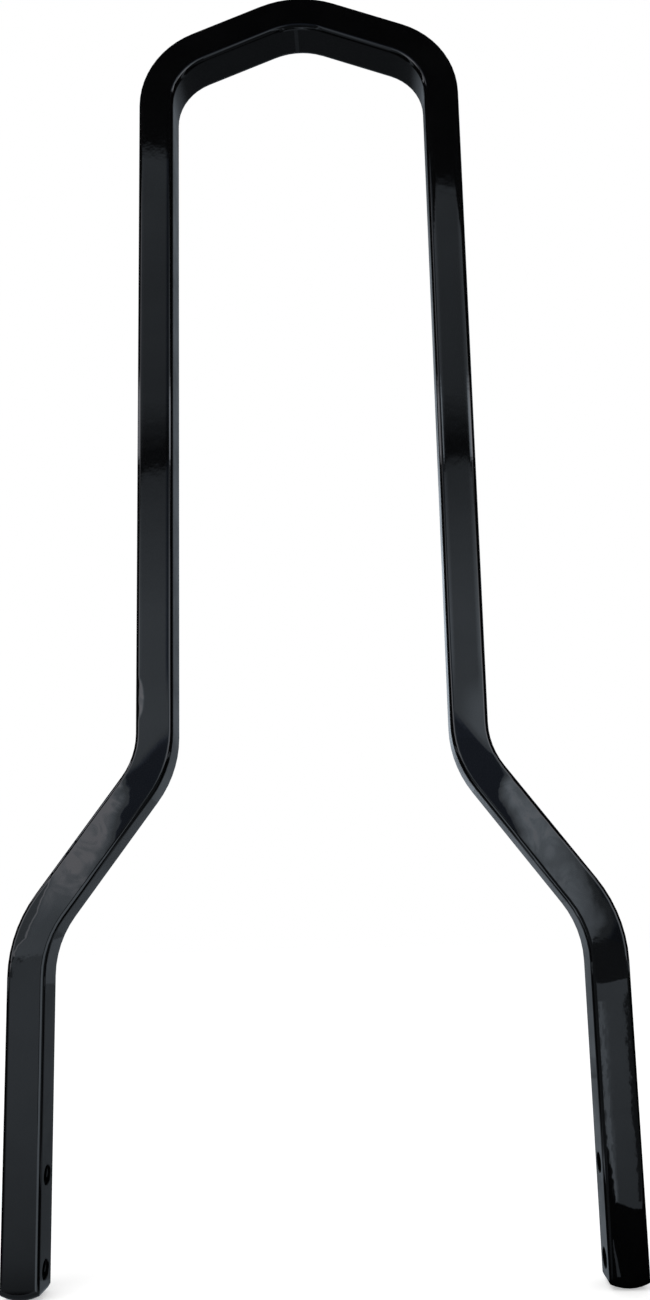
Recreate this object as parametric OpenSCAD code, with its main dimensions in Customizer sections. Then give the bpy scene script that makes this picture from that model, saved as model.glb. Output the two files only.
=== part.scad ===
// Sissy bar for a motorcycle: one length of square steel bar, bent into a tall hoop.
// The feet bolt to brackets at the rear fender, the legs step in at the waist and meet in a low peak.
// X runs across the bike, -Y is the front and Z is up.
// The origin lies midway between the feet, level with their lower ends.

/* [Bar stock] */
// Width and depth of the square bar, with its coat
bar_w = 13.2; // [11:0.1:16]
// Radius of the bar's long edges
edge_r = 1.5; // [1:0.1:2.4]

/* [Hoop] */
// Height from the foot ends to the top of the peak
hoop_h = 478; // [380:1:620]
// Clear width between the feet
foot_gap = 184; // [150:1:230]
// Clear width between the upper legs
leg_gap = 97; // [80:0.5:120]
// Height of the bend above each foot, measured to the corner of the bar's centreline
foot_h = 117; // [95:0.5:150]
// Height gained where the legs step in at the waist, from corner to corner
waist_h = 59; // [45:0.5:90]
// Height gained from the shoulders to the peak, from corner to corner
peak_h = 22; // [8:0.5:35]

/* [Bends] */
// Inside radius of the bend above each foot
foot_bend_r = 34; // [20:0.5:45]
// Inside radius of the bend at the lower end of each upper leg
waist_bend_r = 26; // [15:0.5:38]
// Inside radius of each shoulder
shoulder_bend_r = 19.5; // [12:0.5:28]
// Inside radius of the peak
peak_bend_r = 26; // [12:0.5:36]

/* [Feet] */
// Height at which the curve across a foot's end would meet the bar's sides
end_rise = 1.6; // [1.2:0.1:3.2]
// Radius of the corners of a foot's end, seen from the front
end_corner_r = 3.6; // [2.8:0.1:4.4]
// Radius of the rounded front and back edges of a foot's end
end_edge_r = 3.4; // [1.8:0.1:3.8]
// Diameter of the mounting holes
hole_d = 6.35; // [4:0.05:7.5]
// Distance between the two holes in each foot
hole_pitch = 29.8; // [20:0.1:40]
// Height of the lower hole above the foot end
hole_end = 8.4; // [8:0.1:20]
// Width of the bevel round each end of a hole
hole_bevel = 0.3; // [0.1:0.05:0.8]

/* [Hidden] */
$fn = 96;
// How far a cutting shape runs past the faces that it cuts
past = 2;
// How far the shapes that round a foot's end stand out from the faces of the bar
end_spare = 0.1;
// How far past its turn a bend is swept before it is cut off square
spare_turn = 3;
// Step between the turns that clean_turn tries, and how far from the wanted turn it looks
turn_step = 0.0001;
turn_reach = 0.3;
// Digits kept of a cosine or sine, and how far from 1 the length squared may then lie
kept_digits = 1e6;
unit_slack = 3e-9;
// Radius of the curve across a foot's end
end_r = (pow(bar_w / 2, 2) + pow(end_rise, 2)) / (2 * end_rise);
// Half the spacing of the legs' centrelines, at the feet and above the waist
foot_x = (foot_gap + bar_w) / 2;
leg_x = (leg_gap + bar_w) / 2;
// How far the bar turns at each waist bend, at each shoulder, and on each side of the peak
waist_turn = clean_turn(atan((foot_x - leg_x) / waist_h));
shoulder_turn = clean_turn(90 - atan(peak_h / leg_x));
peak_turn = 90 - shoulder_turn;
// Length along the centreline from each corner back to the start of its bend
foot_setback = setback(foot_bend_r, waist_turn);
waist_setback = setback(waist_bend_r, waist_turn);
shoulder_setback = setback(shoulder_bend_r, shoulder_turn);
peak_setback = setback(peak_bend_r, 2 * peak_turn);
// Heights of the centreline's corners at the peak, at the shoulders and where the upper legs start
peak_z = hoop_h - bar_w / 2 + centre_r(peak_bend_r) * (1 / cos(peak_turn) - 1);
shoulder_z = peak_z - leg_x * tan(peak_turn);
waist_z = foot_h + (foot_x - leg_x) / tan(waist_turn);
// Lengths of the straight stretches between the bends
foot_len = foot_h - end_r - foot_setback;
waist_len = (foot_x - leg_x) / sin(waist_turn) - foot_setback - waist_setback;
leg_len = shoulder_z - waist_z - waist_setback - shoulder_setback;
crosspiece_len = leg_x / cos(peak_turn) - shoulder_setback - peak_setback;
// The bending order from foot to foot: a straight length, then an inside radius and a turn
BENDS = [
    [foot_len, foot_bend_r, waist_turn],
    [waist_len, waist_bend_r, -waist_turn],
    [leg_len, shoulder_bend_r, shoulder_turn],
    [crosspiece_len, peak_bend_r, peak_turn],
    [0, peak_bend_r, peak_turn],
    [crosspiece_len, shoulder_bend_r, shoulder_turn],
    [leg_len, waist_bend_r, -waist_turn],
    [waist_len, foot_bend_r, waist_turn]
];

// A length cut to the digits that are kept
function cut_off(value) = round(value * kept_digits) / kept_digits;

// The nearest turn whose cosine and sine, cut to six decimals, still make a unit vector.
// The pieces on either side of a bend by that turn then meet exactly.
function clean_turn(turn) = [
    for (step = [0:turn_reach / turn_step], side = [-1, 1])
        let (
            near = turn + side * step * turn_step,
            across = cut_off(cos(near)),
            along = cut_off(sin(near))
        )
        if (abs(across * across + along * along - 1) < unit_slack) near
][0];

// Radius of the centreline in a bend
function centre_r(inside_r) = inside_r + bar_w / 2;

// Length of centreline that a bend takes up on each side of its corner
function setback(inside_r, turn) = centre_r(inside_r) * tan(turn / 2);

// Cross-section of the bar: a square with rounded corners
module section() {
    flat = bar_w - 2 * edge_r;
    square([bar_w, flat], center = true);
    square([flat, bar_w], center = true);
    for (x = [-1, 1], y = [-1, 1])
        translate([x * flat / 2, y * flat / 2])
            circle(r = edge_r);
}

// A straight length of bar up Z, with the children placed on its far end
module straight(length) {
    if (length > 0)
        linear_extrude(length)
            section();
    translate([0, 0, length])
        children();
}

// Turns the children about the centre of a bend that leaves Z for +X, or for -X if the turn is negative
module at_bend_end(inside_r, turn) {
    centre = sign(turn) * centre_r(inside_r);
    translate([centre, 0, 0])
        rotate([0, turn, 0])
            translate([-centre, 0, 0])
                children();
}

// A bend in the bar, swept a little too far and then cut off square, with the children placed on its far end
module bend(inside_r, turn) {
    radius = centre_r(inside_r);
    difference() {
        translate([sign(turn) * radius, 0, 0])
            rotate([90, 0, turn > 0 ? 180 : 0])
                rotate_extrude(angle = abs(turn) + spare_turn)
                    translate([radius, 0])
                        section();
        at_bend_end(inside_r, turn)
            translate([-bar_w, -bar_w, 0])
                cube(2 * bar_w);
    }
    at_bend_end(inside_r, turn)
        children();
}

// The bar from one bend of the bending order to its far end
module bent_bar(step = 0) {
    straight(BENDS[step][0])
        bend(BENDS[step][1], BENDS[step][2])
            if (step + 1 < len(BENDS))
                bent_bar(step + 1);
            else
                straight(foot_len)
                    rotate([0, 180, 0])
                        foot_end();
}

// Half of the profile of the disc that shapes a foot's end, from its centre to its rounded rim
module end_profile() {
    half = bar_w / 2 + end_spare;
    translate([0, -half])
        square([end_r - end_edge_r, 2 * half]);
    translate([0, end_edge_r - half])
        square([end_r, 2 * (half - end_edge_r)]);
    for (y = [-1, 1])
        translate([end_r - end_edge_r, y * (half - end_edge_r)])
            circle(r = end_edge_r);
}

// Outline of a foot's end seen from the front, with rounded lower corners
module end_outline() {
    corner_x = bar_w / 2 + end_spare - end_corner_r;
    low = end_r + end_spare;
    translate([-corner_x, -low])
        square([2 * corner_x, low + past]);
    translate([-corner_x - end_corner_r, end_corner_r - low])
        square([2 * (corner_x + end_corner_r), low - end_corner_r + past]);
    for (x = [-corner_x, corner_x])
        translate([x, end_corner_r - low])
            circle(r = end_corner_r);
}

// The curved end of a foot, below the centre of its curve
module foot_end() {
    intersection() {
        translate([0, 0, -end_r - past])
            linear_extrude(end_r + past)
                section();
        rotate([90, 0, 0])
            rotate_extrude()
                end_profile();
        rotate([90, 0, 0])
            linear_extrude(2 * bar_w, center = true)
                end_outline();
    }
}

// A mounting hole through a foot along X, with a bevel at each face
module mounting_hole() {
    mouth_r = hole_d / 2 + hole_bevel;
    rotate([0, 90, 0])
        cylinder(d = hole_d, h = bar_w + 2 * past, center = true);
    for (side = [-1, 1])
        translate([side * bar_w / 2, 0, 0])
            rotate([0, side * 90, 0])
                translate([0, 0, -hole_bevel])
                    cylinder(r1 = hole_d / 2, r2 = mouth_r + past, h = hole_bevel + past);
}

module bar() {
    color([0.03, 0.03, 0.035])
        difference() {
            translate([-foot_x, 0, end_r]) {
                foot_end();
                bent_bar();
            }
            for (x = [-foot_x, foot_x], z = [0, hole_pitch])
                translate([x, 0, hole_end + z])
                    mounting_hole();
        }
}

bar();
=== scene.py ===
"""Looks of the gloss black sissy bar: coat, threads in the mounting holes, studio and camera."""

import math

import bpy
from mathutils import Matrix, Vector


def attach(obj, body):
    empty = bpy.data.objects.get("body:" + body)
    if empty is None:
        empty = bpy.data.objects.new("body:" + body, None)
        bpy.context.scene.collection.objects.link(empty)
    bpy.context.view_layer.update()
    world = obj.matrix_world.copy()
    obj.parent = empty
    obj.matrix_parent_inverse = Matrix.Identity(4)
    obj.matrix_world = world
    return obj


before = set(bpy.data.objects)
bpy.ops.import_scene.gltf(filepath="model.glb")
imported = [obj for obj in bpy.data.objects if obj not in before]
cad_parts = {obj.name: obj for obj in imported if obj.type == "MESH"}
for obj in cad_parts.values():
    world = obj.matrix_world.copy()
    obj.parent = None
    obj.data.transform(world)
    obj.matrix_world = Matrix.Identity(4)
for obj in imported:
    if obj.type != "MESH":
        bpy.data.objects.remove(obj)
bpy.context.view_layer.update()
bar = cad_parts["bar"]

# Sizes shared with the solid, in metres
BAR_W = 0.0132
FOOT_X = 0.0986
LEG_X = 0.0551
WAIST_LOW, WAIST_HIGH = 0.117, 0.176
FLARE_HALF = 0.0082
HOLE_ZS = (0.0084, 0.0382)
HOLE_R = 0.003175
PITCH = 0.00127

# Colour of the studio as the gloss shows it: in general, in the shaded middle, and at the sides of the front
COOL = (0.88, 1.0, 1.13, 1.0)
NAVY = (0.74, 0.92, 1.30, 1.0)
ROSE = (0.97, 0.98, 1.06, 1.0)
WHITE = (1.0, 1.0, 1.0, 1.0)

# Colour of the bar under its coat, darkest and lightest
DARKEST = (0.0006, 0.0006, 0.0007, 1.0)
LIGHTEST = (0.0013, 0.0013, 0.0015, 1.0)


# ---- node helpers

class Value:
    """A number or colour in a node tree. Sums, products and the like on it make maths nodes."""

    def __init__(self, tree, socket):
        self.tree = tree
        self.socket = socket

    def __add__(self, other):
        return maths("ADD", self, other)

    def __radd__(self, other):
        return maths("ADD", other, self)

    def __sub__(self, other):
        return maths("SUBTRACT", self, other)

    def __rsub__(self, other):
        return maths("SUBTRACT", other, self)

    def __mul__(self, other):
        return maths("MULTIPLY", self, other)

    def __rmul__(self, other):
        return maths("MULTIPLY", other, self)

    def __truediv__(self, other):
        return maths("DIVIDE", self, other)

    def __abs__(self):
        return maths("ABSOLUTE", self)

    def mapped(self, from_low, from_high, to_low, to_high, kind="LINEAR"):
        """Carries one range over to another and holds the ends."""
        n = self.tree.nodes.new("ShaderNodeMapRange")
        n.interpolation_type = kind
        feed(n.inputs["Value"], self)
        feed(n.inputs["From Min"], from_low)
        feed(n.inputs["From Max"], from_high)
        feed(n.inputs["To Min"], to_low)
        feed(n.inputs["To Max"], to_high)
        return Value(self.tree, n.outputs["Result"])

    def smooth(self, from_low, from_high, to_low=0.0, to_high=1.0):
        """As mapped, with soft ends."""
        return self.mapped(from_low, from_high, to_low, to_high, "SMOOTHSTEP")

    def band(self, start, full, fading, end):
        """1 between full and fading, 0 before the start and after the end, with soft flanks."""
        return self.smooth(start, full) * self.smooth(fading, end, 1.0, 0.0)

    def ramp(self, stops):
        """Grey level that follows the given stops."""
        n = self.tree.nodes.new("ShaderNodeValToRGB")
        n.color_ramp.interpolation = "LINEAR"
        while len(n.color_ramp.elements) < len(stops):
            n.color_ramp.elements.new(0.5)
        for element, (at, level) in zip(n.color_ramp.elements, stops):
            element.position = at
            element.color = (level, level, level, 1.0)
        feed(n.inputs["Fac"], self)
        return Value(self.tree, n.outputs["Color"])


class Place:
    """Texture coordinates of one kind in a node tree, whole and as three numbers."""

    def __init__(self, tree, kind):
        self.tree = tree
        self.whole = Value(tree, tree.nodes.new("ShaderNodeTexCoord").outputs[kind])
        split = tree.nodes.new("ShaderNodeSeparateXYZ")
        feed(split.inputs[0], self.whole)
        self.x, self.y, self.z = (Value(tree, socket) for socket in split.outputs)

    def noise(self, scale, detail=4.0, roughness=0.55, distortion=0.0):
        n = self.tree.nodes.new("ShaderNodeTexNoise")
        feed(n.inputs["Scale"], scale)
        feed(n.inputs["Detail"], detail)
        feed(n.inputs["Roughness"], roughness)
        feed(n.inputs["Distortion"], distortion)
        feed(n.inputs["Vector"], self.whole)
        return Value(self.tree, n.outputs["Fac"])


def new_tree(owner):
    owner.use_nodes = True
    owner.node_tree.nodes.clear()
    return owner.node_tree


def feed(socket, term):
    """Gives an input a value of its tree, or a plain number or colour."""
    if isinstance(term, Value):
        term.tree.links.new(term.socket, socket)
    else:
        socket.default_value = term


def maths(kind, *terms):
    """Maths node on values and plain numbers, at least one of them a value."""
    tree = next(term.tree for term in terms if isinstance(term, Value))
    n = tree.nodes.new("ShaderNodeMath")
    n.operation = kind
    for socket, term in zip(n.inputs, terms):
        feed(socket, term)
    return Value(tree, n.outputs[0])


def greater(a, b):
    return maths("MAXIMUM", a, b)


def lesser(a, b):
    return maths("MINIMUM", a, b)


def vector_maths(kind, *terms):
    tree = terms[0].tree
    n = tree.nodes.new("ShaderNodeVectorMath")
    n.operation = kind
    for socket, term in zip(n.inputs, terms):
        feed(socket, term)
    return Value(tree, n.outputs["Vector"])


def mix(factor, a, b, kind="FLOAT"):
    """a where the factor is 0 and b where it is 1."""
    n = factor.tree.nodes.new("ShaderNodeMix")
    n.data_type = kind
    feed(n.inputs["Factor"], factor)
    feed(n.inputs["A"], a)
    feed(n.inputs["B"], b)
    return Value(factor.tree, n.outputs["Result"])


def glow(tree, colour, strength):
    n = tree.nodes.new("ShaderNodeEmission")
    feed(n.inputs["Color"], colour)
    feed(n.inputs["Strength"], strength)
    return n.outputs[0]


def ray_kinds(tree):
    """Picks out rays: 1 for those out of gloss, and 1 for those from the camera or through clear pieces."""
    path = tree.nodes.new("ShaderNodeLightPath")
    glossy, camera, clear = (Value(tree, path.outputs[kind])
                             for kind in ("Is Glossy Ray", "Is Camera Ray", "Is Transmission Ray"))
    return glossy, greater(camera, clear)


# ---- materials

def waist_tilt(at):
    """Sideways tilt of the front face, which the bends have pulled slightly out of flat."""
    right = maths("GREATER_THAN", at.x, 0.0)
    left = 1.0 - right
    from_centre = abs(at.x) - at.z.mapped(WAIST_LOW, WAIST_HIGH, FOOT_X, LEG_X)
    # From -1 at the inner edge of a flare to 1 at its outer edge
    across = from_centre / FLARE_HALF
    wavy = at.z + (at.noise(110.0, 2.0) - 0.5) * 0.014
    slanted = at.z + across * 0.009

    # Along the middle of each flare, between these wavy lines, the face leans outwards
    upper = wavy - 0.162
    above = across - greater(upper / 0.023, upper / 0.008)
    line_right = (wavy - 0.126) / 0.024
    line_left = greater((wavy - 0.117) / 0.0265, (0.117 - wavy) / 0.015)
    below = line_right * right + line_left * left - across
    out = above.smooth(-0.5, 0.5) * (below.smooth(-1.1, 0.7) * right + below.smooth(-0.2, 0.2) * left)
    swirl = at.noise(100.0, 3.0, distortion=1.6).smooth(0.3, 0.7, 0.65, 1.3)
    reach = greater(at.z.smooth(0.120, 0.146, 0.012, 0.125), right * at.z.smooth(0.105, 0.130, 0.0, 0.10))
    pull_out = out * swirl * reach

    # Beyond them it leans inwards, less so on the right foot's inner half and in the left leg's bend
    pull = greater(0.055 + right * 0.045, at.z.smooth(0.118, 0.150, 0.0, 0.10))
    grip = greater(greater(across.smooth(-1.0, -0.5), at.z.smooth(0.122, 0.135)), left)
    let_go = slanted.smooth(0.163, 0.191) * left
    pull_in = (1.0 - out) * pull * grip * (1.0 - let_go)

    # A crease follows the lower line on the left, and all of it fades out above and below the waist
    crease = abs(below).smooth(0.015, 0.05, 0.10, 0.0) * left
    leg_end = slanted.smooth(0.178, 0.188, 1.0, 0.0) * right + at.z.smooth(0.176, 0.198, 1.0, 0.0) * left
    tilt = (pull_out - pull_in + crease) * (at.z.smooth(0.092, 0.108) * leg_end)

    # Just above, the face leans outwards: on the right towards its outer edge, on the left in a small spot
    lean = slanted.smooth(0.178, 0.188) * at.z.smooth(0.190, 0.206, 0.06, 0.0)
    lean = lean * across.smooth(-0.7, 0.5, 0.2, 1.0)
    spot_up, spot_across = (at.z - 0.199) / 0.0095, (across - 0.85) / 0.48
    spot = (spot_up * spot_up + spot_across * spot_across).smooth(0.55, 1.0, 0.13, 0.0)
    tilt = tilt + lean * right + spot * left * swirl

    # The flats of the upper legs fall away a little towards their edges
    off = from_centre / (BAR_W / 2)
    outer = off.smooth(0.50, 0.78) * (0.03 + right * 0.05)
    inner = off.smooth(-0.78, -0.50, 1.0, 0.0) * (-0.05 + right * 0.14)
    tilt = tilt + (outer + inner) * at.z.band(0.190, 0.215, 0.425, 0.435)

    sideways = at.tree.nodes.new("ShaderNodeCombineXYZ")
    feed(sideways.inputs["X"], tilt * maths("SIGN", at.x))
    return Value(at.tree, sideways.outputs[0])


def in_bores(at):
    """1 on the walls of the mounting holes, 0 elsewhere."""
    radii = []
    for hole_z in HOLE_ZS:
        up = at.z - hole_z
        radii.append(maths("SQRT", at.y * at.y + up * up))
    return lesser(*radii).smooth(HOLE_R + 0.000045, HOLE_R + 0.000175, 1.0, 0.0)


def black_coat():
    material = bpy.data.materials.new("black_coat")
    tree = new_tree(material)
    out = tree.nodes.new("ShaderNodeOutputMaterial")
    shader = tree.nodes.new("ShaderNodeBsdfPrincipled")
    tree.links.new(shader.outputs[0], out.inputs["Surface"])
    at = Place(tree, "Object")

    # Colour: near black, a little uneven in slow clouds and fine specks
    clouds = at.noise(22.0, 3.0).smooth(0.35, 0.7, 0.0, 0.6)
    specks = at.noise(1900.0, 2.0).smooth(0.62, 0.75, 0.0, 0.4)
    feed(shader.inputs["Base Color"], mix(clouds + specks, DARKEST, LIGHTEST, "RGBA"))

    # Sheen under the coat: rougher where it has been handled
    feed(shader.inputs["Roughness"], at.noise(60.0, 5.0).smooth(0.35, 0.7, 0.28, 0.42))
    shader.inputs["Specular IOR Level"].default_value = 0.02
    shader.inputs["IOR"].default_value = 1.5

    # Gloss coat, thinner in patches, and scant inside the mounting holes, where the weaker gloss darkens the
    # bores as painted shade
    cover = at.noise(35.0, 4.0).smooth(0.3, 0.7, 0.235, 0.265)
    feed(shader.inputs["Coat Weight"], cover * (1.0 - in_bores(at) * 0.85))
    shader.inputs["Coat Roughness"].default_value = 0.025
    shader.inputs["Coat IOR"].default_value = 2.0

    # Slight ripple of a sprayed coat, with fine dust in it
    dust = at.noise(2600.0, 1.0).smooth(0.70, 0.80)
    bump = tree.nodes.new("ShaderNodeBump")
    bump.inputs["Strength"].default_value = 0.022
    bump.inputs["Distance"].default_value = 0.0004
    feed(bump.inputs["Height"], at.noise(260.0, 2.0) + dust * 0.12)
    normal = vector_maths("NORMALIZE", vector_maths("ADD", Value(tree, bump.outputs[0]), waist_tilt(at)))
    feed(shader.inputs["Normal"], normal)
    feed(shader.inputs["Coat Normal"], normal)
    return material


def floor_white():
    """White floor that keeps shadows. In the gloss it shows painted levels of its own, before the bar and
    behind it.
    """
    lift_for_camera, level_behind = 0.40, 0.48
    material = bpy.data.materials.new("floor_white")
    tree = new_tree(material)
    glossy, seen = ray_kinds(tree)
    lit = tree.nodes.new("ShaderNodeBsdfDiffuse")
    lit.inputs["Color"].default_value = (0.80, 0.80, 0.80, 1.0)
    add = tree.nodes.new("ShaderNodeAddShader")
    tree.links.new(lit.outputs[0], add.inputs[0])
    tree.links.new(glow(tree, WHITE, seen * lift_for_camera), add.inputs[1])

    # In the gloss only, close before the bar a painted bright line lies between two dark ones, and the ends
    # of the feet show them; further out the floor is darker towards the bar, as painted shade
    y = Place(tree, "Object").y
    painted_level_before = (y * -1.0).ramp([
        (0.0, 0.04), (0.0075, 0.04), (0.0085, 0.85), (0.0120, 0.85), (0.0135, 0.02), (0.0160, 0.02),
        (0.0190, 0.30), (0.025, 0.34), (0.05, 0.54), (0.10, 0.68), (0.20, 0.76), (0.40, 0.85), (1.0, 0.92)])
    painted_in_gloss = mix(y.smooth(0.0, -0.01), level_behind, painted_level_before)

    pick = tree.nodes.new("ShaderNodeMixShader")
    feed(pick.inputs["Fac"], glossy)
    tree.links.new(add.outputs[0], pick.inputs[1])
    tree.links.new(glow(tree, COOL, painted_in_gloss), pick.inputs[2])
    out = tree.nodes.new("ShaderNodeOutputMaterial")
    tree.links.new(pick.outputs[0], out.inputs["Surface"])
    return material


def card_level(name, level):
    """Material of a plain card that shows in the gloss at the given level, as a painted reflection."""
    material = bpy.data.materials.new(name)
    tree = new_tree(material)
    out = tree.nodes.new("ShaderNodeOutputMaterial")
    tree.links.new(glow(tree, COOL, level), out.inputs["Surface"])
    return material


# ---- geometry helpers

def add_mesh(name, verts, faces, material, smooth=False):
    mesh = bpy.data.meshes.new(name)
    mesh.from_pydata([tuple(v) for v in verts], [], faces)
    mesh.materials.append(material)
    for face in mesh.polygons:
        face.use_smooth = smooth
    mesh.update()
    piece = bpy.data.objects.new(name, mesh)
    bpy.context.scene.collection.objects.link(piece)
    return piece


def thread(name, x, z, material):
    """Thread inside a mounting hole: a helical ridge on the bore's wall, running out before both mouths."""
    steps, half = 40, BAR_W / 2 - 0.0005
    depth, half_root, half_crest = 0.00050, PITCH * 0.42, PITCH * 0.42 * 0.2
    root_r = HOLE_R + 0.00003
    verts, faces = [], []
    count = int(2 * half / PITCH * steps)
    for i in range(count + 1):
        angle = 2 * math.pi * i / steps
        middle = x - half + 2 * half * i / count
        fade = min(1.0, i / steps, (count - i) / steps)
        crest_r = root_r - max(0.02, fade) * depth
        profile = ((root_r, -half_root), (crest_r, -half_crest), (crest_r, half_crest), (root_r, half_root))
        for r, dx in profile:
            verts.append((middle + dx, r * math.cos(angle), z + r * math.sin(angle)))
    for i in range(count):
        for k in range(3):
            p, q = 4 * i + k, 4 * (i + 1) + k
            faces.append((p, p + 1, q + 1, q))
    return add_mesh(name, verts, faces, material, smooth=True)


def cloth(name, material, *outlines, height=0.0):
    """Cloth that lies flat, in one or more parts, each given by its outline in X and Y."""
    verts, faces = [], []
    for outline in outlines:
        faces.append(tuple(range(len(verts), len(verts) + len(outline))))
        verts.extend((x, y, height) for x, y in outline)
    return add_mesh(name, verts, faces, material)


def upright(name, material, start, end, top):
    """Card that stands between two places on the floor."""
    return add_mesh(name, [(*start, 0), (*end, 0), (*end, top), (*start, top)], [(0, 1, 2, 3)], material)


# ---- dress the bar

coat = black_coat()
bar.data.materials.clear()
bar.data.materials.append(coat)

for side, x in (("left", -FOOT_X), ("right", FOOT_X)):
    for level, z in zip(("low", "high"), HOLE_ZS):
        piece = thread(f"thread_{side}_{level}", x, z, coat)
        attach(piece, "root")

# ---- floor, cloths and cards

floor = add_mesh("floor", [(-6, -6, 0), (6, -6, 0), (6, 6, 0), (-6, 6, 0)], [(0, 1, 2, 3)], floor_white())
floor.location.z = -0.0001

# Cloths and cards, seen only in the gloss: dark and glowing sheets that paint reflections. Each comment says
# where they lie, and then what shows them.
OVER = 0.0002
CARD_TOP = 0.118
dark = card_level("cloth_dark", 0.004)
dim = card_level("cloth_dim", 0.14)
cards = [
    # Between the feet and beside them: the right foot's lower end and the edges of both feet
    cloth("cloth_between", dark, [
        (-0.085, 0.0), (0.0, -0.100), (0.090, -0.130), (0.125, -0.300), (0.170, -0.400), (0.1505, -0.300),
        (0.1337, -0.205), (0.1164, -0.110), (0.122, -0.100), (0.300, -0.100), (2.0, -2.0), (2.0, 1.5),
        (0.110, 0.0), (0.085, 0.003), (0.060, 0.050), (0.0, 0.110)]),
    cloth("cloth_left", dark, [(-0.110, 0.0), (-2.0, 1.5), (-2.0, -2.0)]),
    # Behind, on both sides: the edges between the inner faces and the back
    cloth("cloth_back_right", dim, [(0.125, 0.010), (5.9, 4.6), (5.9, 5.9), (3.6, 5.9), (0.20, 0.50)]),
    cloth("cloth_back_left", dim, [(-0.125, 0.010), (-0.25, 0.50), (-3.6, 5.9), (-5.9, 5.9), (-5.9, 4.6)]),
    # Behind the left foot: its inner face
    upright("card_grey", card_level("card_grey", 0.27), (-0.0915, 0.016), (-0.070, 0.009), 0.100),
    # Far ahead: the lower edges of the crosspiece
    cloth("cloth_ahead", card_level("cloth_ahead", 0.12), [
        (-0.02, -0.11), (-0.215, -0.40), (-1.95, -5.99), (1.1, -5.99), (0.165, -0.45), (0.12, -0.31),
        (0.085, -0.14)]),
    # Ahead of the left foot, a floor strip up to an upright card: the bright line on the foot's inner edge
    add_mesh("card_bright", [
        (-0.0915, -0.006, 0.0001), (-0.098, -0.106, 0.0001), (0.010, -0.106, 0.0001),
        (-0.098, -0.106, CARD_TOP), (0.010, -0.106, CARD_TOP)],
        [(0, 1, 2), (1, 2, 4, 3)], card_level("card_bright", 2.1)),
    # Behind, rising to the right: the inner face of the left flare
    cloth("cloth_slope", card_level("cloth_slope", 0.31), [
        (-0.075, 0.355), (-0.035, 0.355), (0.0, 0.450), (0.050, 0.600), (0.130, 0.850), (0.190, 1.080),
        (0.140, 1.080), (0.080, 0.860), (0.005, 0.620), (-0.045, 0.460)], height=OVER),
    # Behind, in an arc with a lighter middle: the underside of the crosspiece
    cloth("cloth_under_peak", dim, [
        (-0.474, 0.630), (-0.285, 0.515), (-0.150, 0.462), (-0.010, 0.440),
        (-0.010, 0.505), (-0.150, 0.528), (-0.285, 0.585), (-0.474, 0.700)], [
        (0.010, 0.440), (0.080, 0.447), (0.202, 0.480), (0.353, 0.553),
        (0.353, 0.622), (0.202, 0.547), (0.080, 0.511), (0.010, 0.505)]),
    cloth("cloth_slot", card_level("cloth_slot", 0.18), [
        (-0.010, 0.440), (0.010, 0.440), (0.010, 0.505), (-0.010, 0.505)]),
    # Ahead on the left: the outer edge of the left foot
    cloth("cloth_left_dim", card_level("cloth_left_dim", 0.30), [
        (-0.112, -0.010), (-2.0, -1.95), (-5.9, -5.99), (-2.45, -5.99)]),
    # Ahead on the right, a bright strip, a softer one and a dim field: the lines along the right foot
    cloth("strip_right", card_level("strip_right", 1.9), [
        (0.1164, -0.110), (0.1237, -0.149), (0.1516, -0.300), (0.3297, -1.200),
        (0.3371, -1.200), (0.1547, -0.300), (0.1247, -0.149), (0.1172, -0.110)]),
    cloth("strip_soft", card_level("strip_soft", 1.1), [
        (0.1172, -0.110), (0.1247, -0.149), (0.1547, -0.300), (0.3371, -1.200),
        (0.3425, -1.200), (0.1569, -0.300), (0.1256, -0.149), (0.1178, -0.110)]),
    cloth("cloth_right_edge", dim, [
        (0.1258, -0.110), (0.1351, -0.149), (0.1663, -0.291), (0.370, -1.20), (1.45, -5.99), (5.9, -5.99),
        (2.0, -2.0), (0.300, -0.110)]),
    # Close before the right foot: the short line near its end
    cloth("strip_low", card_level("strip_low", 0.55), [
        (0.10403, -0.05928), (0.10432, -0.05926), (0.09796, -0.01856), (0.09679, -0.01863)], height=OVER),
    # Beside the right foot: keeps the bright card out of its edge
    upright("cloth_shield", card_level("cloth_shield", 0.16), (0.085, -0.010), (0.085, -0.240), CARD_TOP),
]
for piece in cards:
    piece.location.z = 0.0004
    piece.visible_camera = False
    piece.visible_shadow = False
    piece.visible_diffuse = False

# ---- world, as seen by direction

world = bpy.data.worlds.new("studio")
bpy.context.scene.world = world
world_tree = new_tree(world)
toward = Place(world_tree, "Generated")
behind = toward.y.smooth(-0.02, 0.02)

# Before the bar stand two wide soft boxes, one above the other with a dark gap, and the ceiling is dark
ahead = greater(toward.y * -1.0, 0.02)
rise = toward.z / ahead
across = toward.x / ahead
boxes = (rise / 2.0).ramp([
    (0.00, 0.36), (0.10, 0.44), (0.158, 0.43), (0.220, 0.25), (0.2375, 0.20), (0.2400, 0.015),
    (0.250, 0.015), (0.256, 0.045), (0.264, 0.09), (0.278, 0.19), (0.395, 0.25), (1.0, 0.25)])
box_tops = (rise + across * 0.18).smooth(0.800, 0.822, 1.0, 0.015)
wide = (across / 4.0 + 0.5).ramp([
    (0.00, 0.02), (0.25, 0.03), (0.275, 3.0), (0.3625, 3.0), (0.395, 1.8), (0.4325, 1.0),
    (0.5275, 1.0), (0.5625, 1.8), (0.6125, 3.0), (0.70, 3.0), (0.725, 0.03), (1.00, 0.02)])
front = boxes * box_tops * wide * 2.6

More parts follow.
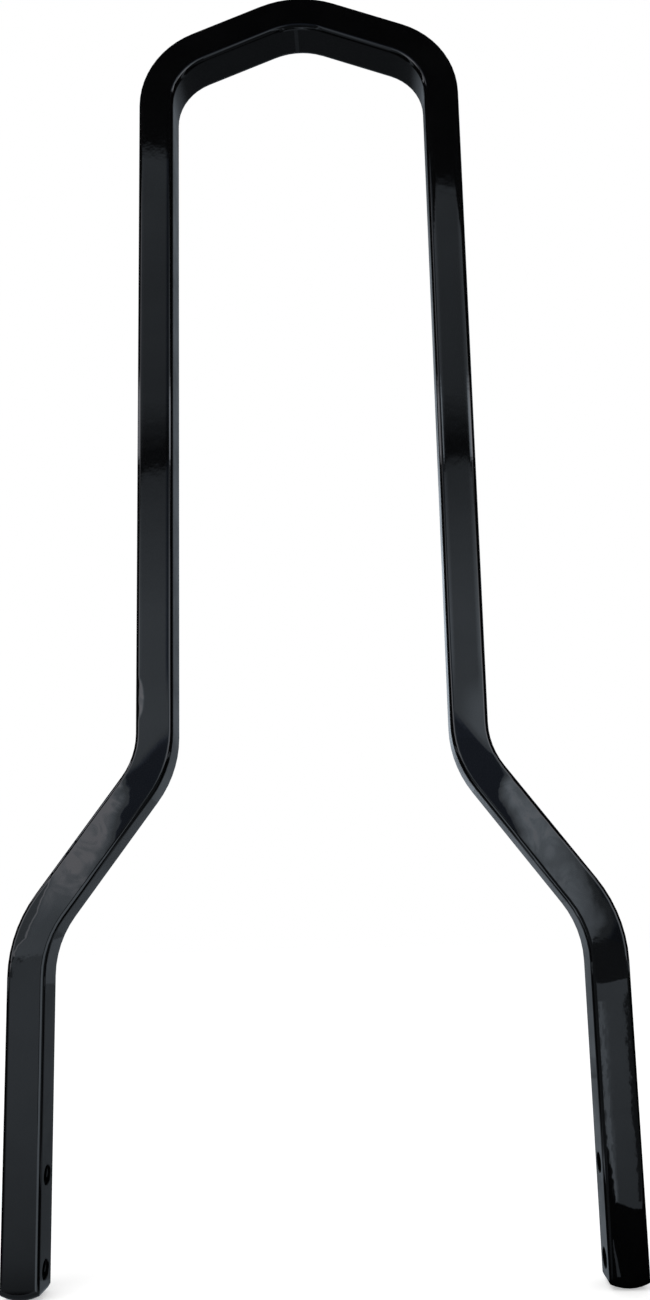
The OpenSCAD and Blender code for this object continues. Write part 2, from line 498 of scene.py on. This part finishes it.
# The camera and its stand shade the low middle of the front
camera_shade = across.band(-0.21, -0.15, 0.03, 0.09) * rise.smooth(0.18, 0.23, 0.75, 0.0)
shade = greater(camera_shade, across.band(-0.21, -0.11, -0.05, 0.085) * 0.72)
low_shade = across.band(-0.14, -0.04, 0.10, 0.18) * rise.smooth(0.0, 0.14, 0.55, 0.0)
front = front * (1.0 - shade) * (1.0 - low_shade)

# Two long low lamps stand at the sides, level with the dark gap
turned = maths("ARCTAN2", toward.x, toward.y * -1.0)
flat_length = maths("SQRT", toward.x * toward.x + toward.y * toward.y)
steep = toward.z / greater(flat_length, 0.02)
lamps = turned.band(-1.75, -1.65, -0.80, -0.70) + turned.band(0.20, 0.26, 0.85, 0.95)
lamps = lamps * (steep.band(0.472, 0.484, 0.54, 0.58) * 4.0)

# Behind the bar the backdrop is bright up to above the bar, with wings on both sides and a dark ceiling
depth = greater(toward.y, 0.02)
back_rise = toward.z / depth
back_wide = abs(toward.x) / depth
wings = back_rise.smooth(0.02, 0.55, 0.30, 1.1) * back_wide.smooth(0.26, 0.36)
wings = wings * back_wide.smooth(1.15, 1.50, 1.0, 0.05)
back = back_rise.smooth(1.2, 2.4, 0.45, 0.02) * greater(back_wide.smooth(0.24, 0.62, 1.0, 0.03), wings)

# Just left of its middle the backdrop is darker high up and brighter low down
left_middle = toward.x.smooth(-0.02, 0.02, 1.0, 0.0) * back_wide.smooth(0.10, 0.20, 1.0, 0.0)
back = back * (1.0 - left_middle * back_rise.smooth(0.58, 0.95, 0.0, 0.95))
back = back * (1.0 + left_middle * back_rise.smooth(0.38, 0.54, 2.4, 0.35))
studio = mix(behind, front, back) + lamps

# Diffuse light is plain and soft, gloss sees the studio, and the camera and clear pieces see white
PLAIN_LIGHT = 0.75
glossy, seen = ray_kinds(world_tree)
sides = abs(across).smooth(0.36, 0.60) * (1.0 - behind)
studio_tint = mix(shade.smooth(0.1, 0.7), mix(sides, COOL, ROSE, "RGBA"), NAVY, "RGBA")
background = world_tree.nodes.new("ShaderNodeBackground")
feed(background.inputs["Color"], mix(glossy, WHITE, studio_tint, "RGBA"))
feed(background.inputs["Strength"], mix(seen, mix(glossy, PLAIN_LIGHT, studio), 1.0))
world_out = world_tree.nodes.new("ShaderNodeOutputWorld")
world_tree.links.new(background.outputs[0], world_out.inputs["Surface"])

# ---- key lamp

key = bpy.data.lights.new("key", "AREA")
key.shape = "RECTANGLE"
key.size, key.size_y = 1.6, 1.2
key.energy = 14.0
key_lamp = bpy.data.objects.new("key", key)
bpy.context.scene.collection.objects.link(key_lamp)
key_lamp.location = (-0.7, -1.1, 1.9)
key_lamp.rotation_mode = "QUATERNION"
key_lamp.rotation_quaternion = (Vector((0, 0, 0.15)) - Vector(key_lamp.location)).to_track_quat("-Z", "Y")
key_lamp.visible_glossy = False

# ---- camera, fitted to the photograph of 650 by 1300 pixels

CAM_AT = Vector((0.024731, -0.354214, 0.117138))
TILT, SWING, ROLL = -0.151, -0.022, -0.028
FOCAL_PX, CENTRE_X, CENTRE_Y = 1017.283, 361.265, 772.748
WIDE, TALL = 650.0, 1300.0
SENSOR = 36.0


def turn(axis, angle):
    return Matrix.Rotation(angle, 3, axis)


cam_data = bpy.data.cameras.new("camera")
cam_data.sensor_fit = "AUTO"
cam_data.sensor_width = SENSOR
cam_data.lens = FOCAL_PX / TALL * SENSOR
cam_data.shift_x = -(CENTRE_X - WIDE / 2) / TALL
cam_data.shift_y = (CENTRE_Y - TALL / 2) / TALL
cam_data.clip_start, cam_data.clip_end = 0.01, 30.0
cam = bpy.data.objects.new("camera", cam_data)
right, forward, up = (turn("Y", ROLL) @ turn("X", TILT) @ turn("Z", SWING)).row
pose = Matrix((right, up, -forward)).transposed().to_4x4()
pose.translation = CAM_AT
cam.matrix_world = pose

scene = bpy.context.scene
scene.collection.objects.link(cam)
scene.camera = cam
scene.view_settings.view_transform = "Standard"
